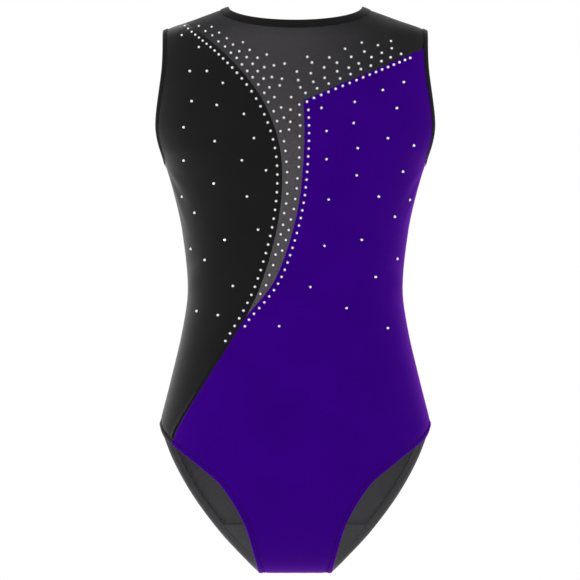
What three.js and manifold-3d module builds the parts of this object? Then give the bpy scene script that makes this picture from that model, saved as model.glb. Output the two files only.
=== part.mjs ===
// A child's sleeveless gymnastics leotard, filled out as it is when worn.
//
// Millimetres. +Z is up, the front of the leotard faces -Y, and the wearer's left arm is at +X.
// The origin lies midway between the two neck points, where the shoulder seams meet the neckline.
//
// Every piece of cloth is cut from thin layers around one body form. A layer lies between two
// offsets from the form's surface, and a pattern outline, drawn as seen from the front, cuts the
// piece out of it. The pieces fit because all layers share the same form and the same outlines.

import * as THREE from "three";
import { mergeVertices } from "three/addons/utils/BufferGeometryUtils.js";
import Module from "manifold-3d";

const wasm = await Module();
wasm.setup();

// ---------------------------------------------------------------- driving dimensions

// Outline, as seen from the front. A drop is measured down from the neck points.
const neckWidth = 133;
const frontNeckDrop = 13.5;
const backNeckDrop = 20;
const shoulderWidth = 265;
const shoulderDrop = 24.5;
const armRootWidth = 296;
const armholeWidth = 279;
const armholeWidestDrop = 119;
const upperArmholeDrop = 61;
const upperArmholeBow = 0.8;
const underarmWidth = 263;
const underarmDrop = 154;
const waistWidth = 215;
const waistDrop = 281;
const hipWidth = 272;
const hipDrop = 418;
const crotchWidth = 74;
const crotchDrop = 566;

// Depths, from the middle plane to the front or the back of the body.
const neckFrontDepth = 46;
const neckBackDepth = 36;
const chestFrontDepth = 89;
const chestBackDepth = 84;
const waistFrontDepth = 74;
const waistBackDepth = 62;
const bellyFrontDepth = 79;
const seatBackDepth = 95;

// Cloth, bindings, elastic and seams.
const clothThickness = 0.9;
const layerGap = 0.3;
const seamGap = 0.3;
const neckBindingWidth = 9;
const armholeBindingWidth = 6;
const legHemWidth = 6.5;
const foldThickness = 0.8;
const elasticThickness = 1.0;
const neckElasticWidth = 4;
const armholeElasticWidth = 2;
const legElasticWidth = 4;
const seamAllowance = 6;
const seamThickness = 1.2;
const liningThickness = 0.6;
const liningFrontLength = 61;
const liningBackLength = 46;

// Rhinestones.
const stoneWidth = 3.2;
const stoneHeight = 1.4;
const glueWidth = 0.9;
const beadSection = [
  [-0.5, glueWidth],
  [-0.2, stoneWidth],
  [0.2, stoneWidth],
  [0.5, glueWidth],
];
const stoneInset = 3.2;
const blackRowPitch = 7.6;
const purpleRowPitch = 7.6;
const stripeRowPitch = 10.5;

// How finely the form and the outlines are divided, and how far cutting shapes run past the cloth.
const sidesAround = 30;
const rowHeight = 30;
const rowsUnder = 7;
const neckSteps = 12;
const armSteps = 8;
const legSteps = 14;
const reach = 260;
const past = 60;
const meetOverlap = 0.02;

// ---------------------------------------------------------------- body form

// Half widths and depths of the form, from above the neck points down to the hips.
const bodyChart = [
  { drop: -8, half: 45, front: 38, back: 28 },
  { drop: 0, half: neckWidth / 2, front: neckFrontDepth, back: neckBackDepth },
  { drop: shoulderDrop / 2, half: (neckWidth + shoulderWidth) / 4, front: 52, back: 44 },
  { drop: shoulderDrop, half: shoulderWidth / 2, front: 58, back: 51 },
  { drop: 38, half: armRootWidth / 2 - 6, front: 64, back: 58 },
  { drop: 62, half: armRootWidth / 2 - 1, front: 73, back: 69 },
  { drop: 92, half: armRootWidth / 2, front: 81, back: 78 },
  { drop: armholeWidestDrop, half: armRootWidth / 2 - 1.5, front: 87, back: 83 },
  {
    drop: 140,
    half: (armRootWidth + underarmWidth) / 4,
    front: chestFrontDepth,
    back: chestBackDepth,
  },
  { drop: underarmDrop, half: underarmWidth / 2, front: chestFrontDepth, back: chestBackDepth - 1 },
  { drop: 190, half: 120.5, front: chestFrontDepth - 3, back: 76 },
  { drop: 225, half: 113, front: 81, back: 68 },
  { drop: waistDrop, half: waistWidth / 2, front: waistFrontDepth, back: waistBackDepth },
  { drop: 321, half: 112.5, front: 75.5, back: 69 },
  { drop: 369, half: 123.5, front: 78, back: 84 },
  { drop: hipDrop, half: hipWidth / 2, front: bellyFrontDepth, back: seatBackDepth },
];
const thighHalf = hipWidth / 2 + 1;
const kneeHalf = hipWidth / 2 - 10;

// The cross-section is a superellipse, and so is the side view of each half below the hips.
const sectionPower = 2.3;
const frontUnderPower = 1.9;
const backUnderPower = 2.4;
const hipBlend = 8;

function slopeAt(index, field) {
  const before = bodyChart[Math.max(index - 1, 0)];
  const after = bodyChart[Math.min(index + 1, bodyChart.length - 1)];
  return (after[field] - before[field]) / (after.drop - before.drop);
}

// A smooth curve through one column of the chart.
function chartValue(drop, field) {
  let index = bodyChart.findIndex((row) => row.drop >= drop - 1e-9);
  index = Math.max(index, 1);
  const low = bodyChart[index - 1];
  const high = bodyChart[index];
  const span = high.drop - low.drop;
  const t = (drop - low.drop) / span;
  const startSlope = slopeAt(index - 1, field) * span;
  const endSlope = slopeAt(index, field) * span;
  const a = 2 * t ** 3 - 3 * t ** 2 + 1;
  const b = t ** 3 - 2 * t ** 2 + t;
  const c = -2 * t ** 3 + 3 * t ** 2;
  const d = t ** 3 - t ** 2;
  return a * low[field] + b * startSlope + c * high[field] + d * endSlope;
}

function signedPower(value, power) {
  return Math.sign(value) * Math.abs(value) ** power;
}

// A level from 0 to 1 runs from the top of the chart to the hips, and from 1 to 2 on to the crotch.
const topDrop = bodyChart[0].drop;

function levelOfDrop(drop) {
  if (drop <= hipDrop) return (drop - topDrop) / (hipDrop - topDrop);
  const share = Math.min((drop - hipDrop) / (crotchDrop - hipDrop), 1);
  return 1 + Math.asin(share) / (Math.PI / 2);
}

function sectionAt(level) {
  if (level <= 1) {
    const drop = topDrop + level * (hipDrop - topDrop);
    return {
      drop,
      half: chartValue(drop, "half"),
      front: chartValue(drop, "front"),
      back: chartValue(drop, "back"),
    };
  }
  const turn = (Math.min(level, 2) - 1) * (Math.PI / 2);
  const fall = Math.sin(turn);
  const left = Math.cos(turn);
  const thigh = THREE.MathUtils.lerp(thighHalf, kneeHalf, fall ** 2);
  return {
    drop: hipDrop + (crotchDrop - hipDrop) * fall,
    half: thigh - (thighHalf - hipWidth / 2) * left ** hipBlend,
    front: bellyFrontDepth * left ** (2 / frontUnderPower),
    back: seatBackDepth * left ** (2 / backUnderPower),
  };
}

// Angle 0 is the wearer's left side, a quarter turn on is the middle of the front.
function formPoint(angle, level) {
  const { drop, half, front, back } = sectionAt(level);
  const across = Math.cos(angle);
  const fore = Math.sin(angle);
  const depth = fore > 0 ? front : back;
  const x = half * signedPower(across, 2 / sectionPower);
  const y = -depth * signedPower(fore, 2 / sectionPower);
  return new THREE.Vector3(x, y, -drop);
}

function formNormal(angle, level) {
  if (level >= 2) return new THREE.Vector3(0, 0, -1);
  const step = 1e-3;
  const around = formPoint(angle + step, level).sub(formPoint(angle - step, level));
  const below = formPoint(angle, Math.min(level + step, 2));
  const down = below.sub(formPoint(angle, Math.max(level - step, 0)));
  return around.cross(down).normalize();
}

// The levels of the form's rows: every line of the chart, with even rows between them.
function rowLevels() {
  const levels = [];
  for (let i = 1; i < bodyChart.length; i++) {
    const from = bodyChart[i - 1].drop;
    const span = bodyChart[i].drop - from;
    const rows = Math.max(1, Math.round(span / rowHeight));
    for (let row = 0; row < rows; row++) levels.push(levelOfDrop(from + (span * row) / rows));
  }
  for (let row = 0; row <= rowsUnder; row++) levels.push(1 + row / rowsUnder);
  return levels;
}

// ---------------------------------------------------------------- solids

function toManifold(geometry) {
  geometry.deleteAttribute("normal");
  geometry.deleteAttribute("uv");
  const merged = mergeVertices(geometry, 1e-4);
  return new wasm.Manifold(
    new wasm.Mesh({
      numProp: 3,
      vertProperties: new Float32Array(merged.attributes.position.array),
      triVerts: new Uint32Array(merged.index.array),
    })
  );
}

function toGeometry(solid) {
  const mesh = solid.getMesh();
  const geometry = new THREE.BufferGeometry();
  const corners = new Float32Array(mesh.vertProperties);
  geometry.setAttribute("position", new THREE.BufferAttribute(corners, 3));
  geometry.setIndex(new THREE.BufferAttribute(new Uint32Array(mesh.triVerts), 1));
  geometry.computeVertexNormals();
  return geometry;
}

// The whole form as a closed solid, with its surface moved outwards by an offset. It is a closed
// cylinder whose rings are moved to the form's rows.
function formSolid(offset) {
  const levels = rowLevels();
  const geometry = new THREE.CylinderGeometry(1, 1, 1, sidesAround, levels.length - 1, false);
  const position = geometry.attributes.position;
  const ring = sidesAround + 1;
  const sideCount = ring * levels.length;
  const place = (vertex, column, row) => {
    const angle = (-2 * Math.PI * column) / sidesAround;
    const normal = formNormal(angle, levels[row]);
    const moved = formPoint(angle, levels[row]).addScaledVector(normal, offset);
    if (row === levels.length - 1) moved.y = 0;
    position.setXYZ(vertex, moved.x, moved.y, moved.z);
  };
  for (let vertex = 0; vertex < sideCount; vertex++) {
    place(vertex, (vertex % ring) % sidesAround, Math.floor(vertex / ring));
  }
  placeCaps(geometry, sideCount, place, levels.length - 1);
  return toManifold(geometry);
}

// A cylinder's caps follow its side: first the centres of the top cap, then its ring, then the
// same for the bottom cap. The bottom cap folds flat, since the form ends there in an edge.
function placeCaps(geometry, start, place, lastRow) {
  const position = geometry.attributes.position;
  let vertex = start;
  for (let column = 0; column < sidesAround; column++, vertex++) {
    position.setXYZ(vertex, 0, 0, -topDrop);
  }
  for (let column = 0; column <= sidesAround; column++, vertex++) {
    place(vertex, column % sidesAround, 0);
  }
  const bottom = geometry.groups[2];
  const index = [...geometry.index.array].slice(0, bottom.start);
  geometry.setIndex(index);
  geometry.clearGroups();
  for (; vertex < position.count; vertex++) place(vertex, 0, lastRow);
}

const formCache = new Map();

function form(offset) {
  const key = offset.toFixed(4);
  if (!formCache.has(key)) formCache.set(key, formSolid(offset));
  return formCache.get(key);
}

// The space between two offsets from the form.
function layer(inner, outer) {
  return form(outer).subtract(form(inner));
}

// A flat outline in the front view, extruded through the front half, the back half, or both.
function prism(points, side = "both") {
  const outline = new THREE.Shape(points);
  const depth = side === "both" ? 2 * reach : reach + meetOverlap;
  const geometry = new THREE.ExtrudeGeometry(outline, { depth, bevelEnabled: false });
  geometry.rotateX(Math.PI / 2);
  geometry.translate(0, side === "front" ? meetOverlap : reach, 0);
  return toManifold(geometry);
}

function box(low, high) {
  const size = new THREE.Vector3().subVectors(high, low);
  const geometry = new THREE.BoxGeometry(size.x, size.y, size.z);
  geometry.translate((low.x + high.x) / 2, (low.y + high.y) / 2, (low.z + high.z) / 2);
  return toManifold(geometry);
}

function union(solids) {
  return solids.reduce((whole, solid) => whole.add(solid));
}

// ---------------------------------------------------------------- flat pattern lines

const at = (x, z) => new THREE.Vector2(x, z);

const smoothLine = (points, count) => new THREE.SplineCurve(points).getSpacedPoints(count);

const mirrored = (points) => points.map((point) => at(-point.x, point.y)).reverse();

// Moves a line sideways, to the left of its direction when the distance is positive.
function offsetLine(points, distance) {
  return points.map((point, index) => {
    const before = points[Math.max(index - 1, 0)];
    const after = points[Math.min(index + 1, points.length - 1)];
    const along = after.clone().sub(before).normalize();
    return at(point.x - along.y * distance, point.y + along.x * distance);
  });
}

function arc(centre, radius, fromAngle, toAngle, steps = 4) {
  const curve = new THREE.EllipseCurve(
    centre.x, centre.y, radius, radius, fromAngle, toAngle, toAngle < fromAngle
  );
  return curve.getPoints(steps);
}

// A closed band that follows a line on both sides.
function bandAround(line, width) {
  return [...offsetLine(line, width / 2), ...offsetLine(line, -width / 2).reverse()];
}

// ---------------------------------------------------------------- openings

// The neckline is half an ellipse on each side. Growing it gives the lower edge of its binding.
function neckOutline(dropDepth, grow) {
  const curve = new THREE.EllipseCurve(
    0, 0, neckWidth / 2 + grow, dropDepth + grow, Math.PI, 2 * Math.PI, false
  );
  return [
    at(-reach, past),
    at(-reach, 0),
    ...curve.getPoints(neckSteps),
    at(reach, 0),
    at(reach, past),
  ];
}

function neckOpening(grow) {
  return prism(neckOutline(frontNeckDrop, grow), "front").add(
    prism(neckOutline(backNeckDrop, grow), "back")
  );
}

// The wearer's left armhole, from the shoulder tip down to the underarm point.
const armholeLine = smoothLine(
  [
    at(shoulderWidth / 2, -shoulderDrop),
    at(shoulderWidth / 2 + upperArmholeBow, -upperArmholeDrop),
    at(armholeWidth / 2, -armholeWidestDrop),
    at(underarmWidth / 2, -underarmDrop),
  ],
  armSteps
);

function armOutline(grow) {
  const edge = offsetLine(armholeLine, -grow);
  const underarm = armholeLine[armholeLine.length - 1];
  const corner = grow > 0 ? arc(underarm, grow, Math.PI, 1.5 * Math.PI) : [];
  const top = grow > 0 ? past : -shoulderDrop;
  return [
    at(reach, top),
    at(edge[0].x, top),
    ...(grow > 0 ? edge : edge.slice(1)),
    ...corner.slice(1),
    at(reach, -underarmDrop - grow),
  ];
}

// The leg openings, from the bottom of the side seam to the crotch seam.
// A point is given by its share of the way in from the hip and its share of the way down.
function legLine(shares) {
  const lerp = THREE.MathUtils.lerp;
  const points = shares.map(([inward, down]) =>
    at(lerp(hipWidth / 2, crotchWidth / 2, inward), -lerp(hipDrop, crotchDrop, down))
  );
  return smoothLine(points, legSteps);
}

const frontLegLine = legLine([
  [0, 0],
  [0.045, 0.081],
  [0.162, 0.152],
  [0.414, 0.284],
  [0.636, 0.419],
  [0.848, 0.655],
  [0.96, 0.892],
  [1, 1],
]);
const backLegLine = legLine([
  [0, 0],
  [0.141, 0.236],
  [0.348, 0.48],
  [0.621, 0.723],
  [0.879, 0.912],
  [1, 1],
]);

function legOutline(line, grow) {
  const edge = offsetLine(line, -grow);
  const side = line[0];
  const corner = grow > 0 ? arc(side, grow, 0.5 * Math.PI, 0.8 * Math.PI) : [];
  const below = edge[edge.length - 1].x;
  return [
    at(reach, -hipDrop + grow),
    ...corner,
    ...edge.slice(grow > 0 ? 1 : 0),
    at(below, -crotchDrop - past),
    at(reach, -crotchDrop - past),
  ];
}

function onSide(points, side) {
  return side === "left" ? points : mirrored(points);
}

function armOpening(grow, side) {
  return prism(onSide(armOutline(grow), side));
}

function legOpening(grow, side) {
  return prism(onSide(legOutline(frontLegLine, grow), side), "front").add(
    prism(onSide(legOutline(backLegLine, grow), side), "back")
  );
}

const sides = ["left", "right"];
const eachSide = (make) => union(sides.map(make));
const memo = new Map();

// All five openings, grown by the widths of their bindings and hems and by an extra margin.
function allOpenings(share, margin) {
  const key = share + "/" + margin;
  if (!memo.has(key)) {
    const neck = neckOpening(neckBindingWidth * share + margin);
    const arms = eachSide((side) => armOpening(armholeBindingWidth * share + margin, side));
    const legs = eachSide((side) => legOpening(legHemWidth * share + margin, side));
    memo.set(key, union([neck, arms, legs]));
  }
  return memo.get(key);
}

// ---------------------------------------------------------------- style lines on the front

const stripeTip = at(-49, -309);
const purpleCorner = at(8, -93);
const blackStart = at(-shoulderWidth / 2, 2);
const purpleStart = at(armRootWidth / 2 + 2, -33);
const lowerEnd = at(8 - hipWidth / 2, -hipDrop - 37);

// Black against mesh, from beyond the shoulder down to the tip of the stripe.
const blackLine = smoothLine(
  [
    blackStart,
    at(-75, -43),
    at(-38, -85),
    at(-18, -130),
    at(-13, -175),
    at(-19, -225),
    at(-34, -277),
    stripeTip,
  ],
  18
);

// Mesh against purple: straight from the armhole to the corner, then curved down to the tip.
const purpleTopLine = [purpleStart, purpleCorner];
const purpleSideLine = smoothLine(
  [purpleCorner, at(9, -135), at(4.5, -191), at(-6, -236), at(-22, -276), stripeTip],
  12
);

// Black against purple, from the tip to below the leg opening.
const lowerLine = smoothLine(
  [stripeTip, at(-65, -335), at(-94, -381), at(17 - hipWidth / 2, -hipDrop - 6), lowerEnd],
  6
);

const blackOutline = [
  ...blackLine,
  ...lowerLine.slice(1),
  at(-reach, lowerEnd.y),
  at(-reach, blackStart.y),
];
const purpleOutline = [
  purpleTopLine[0],
  ...purpleSideLine,
  ...lowerLine.slice(1),
  at(lowerEnd.x, -crotchDrop - past),
  at(reach, -crotchDrop - past),
  at(reach, purpleStart.y),
];

const blackToPurple = [...blackLine, ...lowerLine.slice(1)];

function seamSlits(width) {
  return union([
    prism(bandAround(blackToPurple, width), "front"),
    prism(bandAround(purpleSideLine, width), "front"),
    prism(bandAround(purpleTopLine, width), "front"),
  ]);
}

// ---------------------------------------------------------------- cloth panels

const hemInner = -(2 * clothThickness + elasticThickness + 2 * layerGap);
const hemOuter = -clothThickness;
const hemLeaf = hemInner + clothThickness;

const allBelow = -2 * crotchDrop;

function half(side) {
  const low = side === "front" ? -reach : seamGap / 2;
  const high = side === "front" ? -seamGap / 2 : reach;
  return box(new THREE.Vector3(-reach, low, allBelow), new THREE.Vector3(reach, high, past));
}

// Cloth up to the bindings of the neck and the armholes, whose mouths it enters, and on round the
// fold of the leg hems, where it turns inwards over the elastic.
function bodyCloth() {
  const neckEntry = foldThickness + layerGap + neckElasticWidth + layerGap;
  const armEntry = foldThickness + layerGap + armholeElasticWidth + layerGap;
  const neck = neckOpening(neckEntry);
  const arms = eachSide((side) => armOpening(armEntry, side));
  const legs = eachSide((side) => legOpening(0, side));
  const face = layer(-clothThickness, 0);
  const bands = eachSide((side) => legOpening(legHemWidth, side));
  const folds = eachSide((side) => legOpening(foldThickness, side));
  const turned = layer(hemInner, hemOuter + clothThickness / 2).intersect(bands);
  const pocket = layer(hemLeaf, hemOuter).subtract(folds);
  return face.add(turned.subtract(pocket)).subtract(union([neck, arms, legs]));
}

// ---------------------------------------------------------------- bindings and elastic

// A binding is folded double over the cloth's edge, with the elastic inside the fold. Its layers
// are centred on the middle of the cloth.
const middle = -clothThickness / 2;
const elasticHalf = elasticThickness / 2;
const pocketHalf = elasticHalf + layerGap;
const bindingHalf = pocketHalf + foldThickness;

function folded(opening, width) {
  const whole = layer(middle - bindingHalf, middle + bindingHalf).intersect(opening(width));
  const pocket = layer(middle - pocketHalf, middle + pocketHalf).subtract(opening(foldThickness));
  return whole.subtract(pocket).subtract(opening(0));
}

function elasticIn(opening, width, low, high) {
  const start = foldThickness + layerGap;
  return layer(low, high).intersect(opening(start + width)).subtract(opening(start));
}

const bindingElastic = (opening, width) =>
  elasticIn(opening, width, middle - elasticHalf, middle + elasticHalf);

function hemElastic(side) {
  const low = hemLeaf + layerGap;
  return elasticIn((grow) => legOpening(grow, side), legElasticWidth, low, low + elasticThickness);
}

// ---------------------------------------------------------------- seams and lining

const seamOuter = -clothThickness - layerGap;
const seamInner = seamOuter - seamThickness;
const liningOuter = seamInner - layerGap;

const clearOfEdges = () => allOpenings(1, layerGap);

function seamStrip(area) {
  return layer(seamInner, seamOuter).intersect(area).subtract(clearOfEdges());
}

function crossBox(lowX, highX, lowZ, highZ, width = seamAllowance) {
  return box(
    new THREE.Vector3(lowX, -width / 2, lowZ),
    new THREE.Vector3(highX, width / 2, highZ)
  );
}

// A stretch of a seam strip on the wearer's left or right, between two distances from the middle.
function sideStrip(side, inner, outer, lowZ, highZ) {
  const sign = side === "left" ? 1 : -1;
  const ends = [sign * inner, sign * outer].sort((a, b) => a - b);
  return seamStrip(crossBox(ends[0], ends[1], lowZ, highZ));
}

const sideSeam = (side) => sideStrip(side, waistWidth / 4, reach, -hipDrop, -underarmDrop);

const shoulderSeam = (side) =>
  sideStrip(side, neckWidth / 2, shoulderWidth / 2, -shoulderDrop - seamAllowance, past);

function crotchSeam() {
  const half = crotchWidth / 2;
  return seamStrip(crossBox(-half, half, -crotchDrop - past, -crotchDrop + seamAllowance));
}

// The allowances of the front seams are pressed away from the mesh, and from purple to black.
const pressedLine = (line, sign) => offsetLine(line, (sign * seamAllowance) / 2);

function pressedBand(line, sign, extra = 0) {
  return prism(bandAround(pressedLine(line, sign), seamAllowance + extra), "front");
}

function purpleSeamBand() {
  const corner = at(purpleCorner.x - 1, purpleCorner.y - 0.4);
  return pressedBand(purpleSideLine, 1).add(pressedBand([corner, purpleStart], -1));
}

// Where seams meet, one stops short of the next, and all stop short of the side seams.
function besideSeams(strip) {
  const cover = seamAllowance + 2 * seamGap;
  return strip.subtract(crossBox(-reach, reach, -crotchDrop - past, past, cover));
}

function blackYokeSeam() {
  return besideSeams(seamStrip(pressedBand(blackLine, -1)));
}

function lowerFrontSeam() {
  const taken = pressedBand(blackLine, -1, 2 * seamGap);
  return besideSeams(seamStrip(pressedBand(lowerLine, -1)).subtract(taken));
}

function purpleYokeSeam() {
  const extra = 2 * seamGap;
  const taken = pressedBand(blackLine, -1, extra).add(pressedBand(lowerLine, -1, extra));
  return besideSeams(seamStrip(purpleSeamBand()).subtract(taken));
}

function crotchLining() {
  const front = box(
    new THREE.Vector3(-reach, -reach, allBelow),
    new THREE.Vector3(reach, 0, liningFrontLength - crotchDrop)
  );
  const back = box(
    new THREE.Vector3(-reach, 0, allBelow),
    new THREE.Vector3(reach, reach, liningBackLength - crotchDrop)
  );
  const area = front.add(back);
  return layer(liningOuter - liningThickness, liningOuter)
    .intersect(area)
    .subtract(eachSide((side) => legOpening(legHemWidth + layerGap, side)));
}

// ---------------------------------------------------------------- rhinestones

// A row of stones along a line on the front. Its outline swells to a stone's width at each stone
// and narrows to the glue that links them, so that the row is one piece.
function stoneRow(line, pitch) {
  const curve = new THREE.SplineCurve(line);
  const length = curve.getLength();
  const near = [];
  const far = [];
  for (let along = stoneWidth; along <= length - stoneWidth; along += pitch) {
    for (const [shift, width] of beadSection) {
      const share = (along + shift * stoneWidth) / length;
      const point = curve.getPointAt(share);
      const tangent = curve.getTangentAt(share);
      const out = at(-tangent.y, tangent.x).multiplyScalar(width / 2);
      near.push(point.clone().add(out));
      far.push(point.clone().sub(out));
    }
  }
  const outline = prism([...near, ...far.reverse()], "front");
  return layer(layerGap, layerGap + stoneHeight).intersect(outline);
}

// The row on the black cloth starts below the shoulder and ends below the stripe's tip.
const blackRowStart = 0.42 * shoulderWidth;
const blackRowEnd = stripeTip.y - 32;
const blackRowLine = offsetLine(blackToPurple, -stoneInset).filter(
  (point) => point.x > -blackRowStart && point.y > blackRowEnd
);

// The row along the top of the purple cloth stops short of the armhole.
const topRowStart = purpleCorner.clone().lerp(purpleStart, 0.746);
const purpleTopRowLine = offsetLine([topRowStart, purpleCorner], stoneInset);

const purpleSideRowLine = offsetLine(purpleSideLine, stoneInset).filter(
  (point) => point.y < purpleCorner.y - 9 && point.y > stripeTip.y + 6
);

// The row in the stripe runs midway between its two seams, where the stripe is narrow.
function stripeMiddle() {
  const ratio = (purpleSideLine.length - 1) / (blackLine.length - 1);
  return blackLine
    .map((point, index) => point.clone().lerp(purpleSideLine[Math.round(index * ratio)], 0.5))
    .filter((point) => point.y < -130 && point.y > stripeTip.y + 30);
}

// ---------------------------------------------------------------- assembly

const finish = {
  black: { color: 0x1f1f20, roughness: 0.6, metalness: 0 },
  mesh: { color: 0x3e3b40, roughness: 0.8, metalness: 0 },
  purple: { color: 0x31017a, roughness: 0.5, metalness: 0 },
  binding: { color: 0x1c1c1c, roughness: 0.65, metalness: 0 },
  elastic: { color: 0xdedad2, roughness: 0.8, metalness: 0 },
  thread: { color: 0x151515, roughness: 0.8, metalness: 0 },
  lining: { color: 0x393939, roughness: 0.9, metalness: 0 },
  crystal: { color: 0xe6ebf2, roughness: 0.08, metalness: 0.2 },
};

const group = new THREE.Group();

function addPiece(name, solid, look) {
  const mesh = new THREE.Mesh(toGeometry(solid), new THREE.MeshStandardMaterial(finish[look]));
  mesh.name = name;
  group.add(mesh);
}

function addPanels() {
  const cloth = bodyCloth();
  const front = cloth.intersect(half("front")).subtract(seamSlits(seamGap));
  const black = prism(blackOutline, "front");
  const purple = prism(purpleOutline, "front");
  addPiece("black_side_panel", front.intersect(black), "black");
  addPiece("purple_front_panel", front.intersect(purple).subtract(black), "purple");
  addPiece("mesh_yoke", front.subtract(black).subtract(purple), "mesh");
  addPiece("back_panel", cloth.intersect(half("back")), "black");
  addPiece("crotch_lining", crotchLining(), "lining");
}

function addBindings() {
  addPiece("neck_binding", folded(neckOpening, neckBindingWidth), "binding");
  addPiece("neck_elastic", bindingElastic(neckOpening, neckElasticWidth), "elastic");
  for (const side of sides) {
    const opening = (grow) => armOpening(grow, side);
    addPiece("armhole_binding_" + side, folded(opening, armholeBindingWidth), "binding");
    addPiece("armhole_elastic_" + side, bindingElastic(opening, armholeElasticWidth), "elastic");
    addPiece("leg_elastic_" + side, hemElastic(side), "elastic");
  }
}

function addSeams() {
  for (const side of sides) {
    addPiece("side_seam_" + side, sideSeam(side), "thread");
    addPiece("shoulder_seam_" + side, shoulderSeam(side), "thread");
  }
  addPiece("crotch_seam", crotchSeam(), "thread");
  addPiece("yoke_seam_black", blackYokeSeam(), "thread");
  addPiece("yoke_seam_purple", purpleYokeSeam(), "thread");
  addPiece("front_seam", lowerFrontSeam(), "thread");
}

function addStones() {
  addPiece("stones_black_edge", stoneRow(blackRowLine, blackRowPitch), "crystal");
  addPiece("stones_purple_top", stoneRow(purpleTopRowLine, purpleRowPitch), "crystal");
  addPiece("stones_purple_side", stoneRow(purpleSideRowLine, purpleRowPitch), "crystal");
  addPiece("stones_stripe", stoneRow(stripeMiddle(), stripeRowPitch), "crystal");
}

addPanels();
addBindings();
addSeams();
addStones();

export default group;
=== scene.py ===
"""Looks of a child's sleeveless gymnastics leotard, filled out as it is when worn.

Every piece of cloth lies on one body form, the same as the CAD model's. Pattern lines are drawn
as seen from the front, in millimetres of the pattern, and laid on the form. A place on the form
is an angle (0 at the wearer's left side, a quarter turn at the middle of the front, negative on
the back) and a level (0 at the top of the form, 1 at the hips, 2 at the crotch).
"""

from math import pi
from types import SimpleNamespace

import bmesh
import bpy
import numpy as np
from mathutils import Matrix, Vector, geometry


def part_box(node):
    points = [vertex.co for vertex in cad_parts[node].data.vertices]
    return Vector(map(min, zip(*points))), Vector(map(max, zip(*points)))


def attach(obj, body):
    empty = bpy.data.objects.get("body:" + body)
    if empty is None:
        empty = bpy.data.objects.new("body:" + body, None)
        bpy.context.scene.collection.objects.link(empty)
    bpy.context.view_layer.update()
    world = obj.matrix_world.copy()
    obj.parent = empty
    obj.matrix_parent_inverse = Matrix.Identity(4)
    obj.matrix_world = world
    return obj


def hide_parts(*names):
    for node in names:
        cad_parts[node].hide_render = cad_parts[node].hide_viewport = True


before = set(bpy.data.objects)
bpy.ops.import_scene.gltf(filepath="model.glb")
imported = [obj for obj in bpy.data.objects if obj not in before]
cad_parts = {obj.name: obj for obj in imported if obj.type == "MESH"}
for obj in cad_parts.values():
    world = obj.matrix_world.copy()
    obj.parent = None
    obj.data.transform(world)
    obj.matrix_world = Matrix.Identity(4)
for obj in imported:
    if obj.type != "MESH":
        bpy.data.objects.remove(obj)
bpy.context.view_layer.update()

# ---------------------------------------------------------------- sizes

# One millimetre of the pattern, in the frame's metres.
PATTERN_LENGTH = 566
MM = -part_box("back_panel")[0].z / PATTERN_LENGTH

NECK_HALF = 66.5
FRONT_NECK_DROP = 13.5
BACK_NECK_DROP = 20
SHOULDER_HALF = 132.5
SHOULDER_DROP = 24.5
UNDERARM_HALF = 131.5
UNDERARM_DROP = 154
HIP_HALF = 136
HIP_DROP = 418
CROTCH_HALF = 37
CROTCH_DROP = 566

CLOTH = 0.9
NECK_BINDING = 9
ARM_BINDING = 6
LEG_HEM = 6.5
SEAM_ALLOWANCE = 6
STONE_WIDTH = 3.2
STONE_HEIGHT = 1.3
# How far the rows of stones lie from their seams.
BLACK_ROW_INSET = 4.8
PURPLE_TOP_INSET = 3.4
PURPLE_SIDE_INSET = 4.6

# Drop, half width, depth to the front and depth to the back, from the top of the form to the hips.
BODY = np.array([
    (-8, 45, 38, 28),
    (0, NECK_HALF, 46, 36),
    (12.25, 99.5, 52, 44),
    (SHOULDER_DROP, SHOULDER_HALF, 58, 51),
    (38, 142, 64, 58),
    (62, 147, 73, 69),
    (92, 148, 81, 78),
    (119, 146.5, 87, 83),
    (140, 139.75, 89, 84),
    (UNDERARM_DROP, UNDERARM_HALF, 89, 83),
    (190, 120.5, 86, 76),
    (225, 113, 81, 68),
    (281, 107.5, 74, 62),
    (321, 112.5, 75.5, 69),
    (369, 123.5, 78, 84),
    (HIP_DROP, HIP_HALF, 79, 95),
])
TOP = BODY[0, 0]
SECTION_POWER = 2.3
FRONT_UNDER_POWER = 1.9
BACK_UNDER_POWER = 2.4
THIGH_HALF = HIP_HALF + 1
KNEE_HALF = HIP_HALF - 10

# ---------------------------------------------------------------- body form


def chart(drop, column):
    """A smooth curve through one column of BODY."""
    drops, values = BODY[:, 0], BODY[:, column]
    slopes = np.empty(len(drops))
    slopes[1:-1] = (values[2:] - values[:-2]) / (drops[2:] - drops[:-2])
    slopes[0] = (values[1] - values[0]) / (drops[1] - drops[0])
    slopes[-1] = (values[-1] - values[-2]) / (drops[-1] - drops[-2])
    i = np.clip(np.searchsorted(drops, drop) - 1, 0, len(drops) - 2)
    span = drops[i + 1] - drops[i]
    t = (drop - drops[i]) / span
    low = (2 * t**3 - 3 * t**2 + 1) * values[i] + (t**3 - 2 * t**2 + t) * slopes[i] * span
    high = (3 * t**2 - 2 * t**3) * values[i + 1] + (t**3 - t**2) * slopes[i + 1] * span
    return low + high


def level_at(drop):
    """The level of a drop above the hips."""
    return (drop - TOP) / (HIP_DROP - TOP)


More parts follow.
